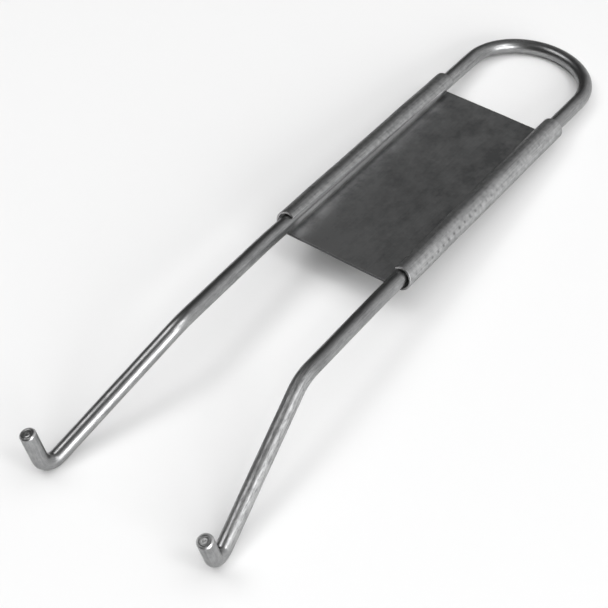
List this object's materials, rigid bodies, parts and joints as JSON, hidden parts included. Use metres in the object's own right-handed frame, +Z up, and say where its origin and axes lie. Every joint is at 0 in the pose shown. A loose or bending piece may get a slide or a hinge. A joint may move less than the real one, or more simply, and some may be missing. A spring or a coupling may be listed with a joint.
{
  "type": "frame grip",
  "caption": "Hooked steel rod bent into a U with a rolled-edge palm plate sliding on its legs, a hand tool for gripping and lifting a beehive frame.",
  "frame": {"origin": "centre of the bounding box at its base, which is the level the elbows and the top of the bow rest on", "axes": "+Z up, the way the hooks point; +Y from the hooks towards the bow; +X from the left leg to the right leg"},
  "size_m": [0.0808, 0.2858, 0.0262],
  "materials": {
    "rod_steel": "bright drawn round bar, satin on the legs and glossier on the lower arms",
    "plate_steel": "dull cold-rolled sheet with faint mottling"
  },
  "bodies": {
    "rod": {"rod": "rod_steel"},
    "plate": {"plate": "plate_steel"}
  },
  "joints": [
    {"name": "plate_slide", "type": "slide", "parent": "rod", "child": "plate", "axis": [0, 0.9946, -0.104], "range_m": [-0.025, 0.021]}
  ]
}
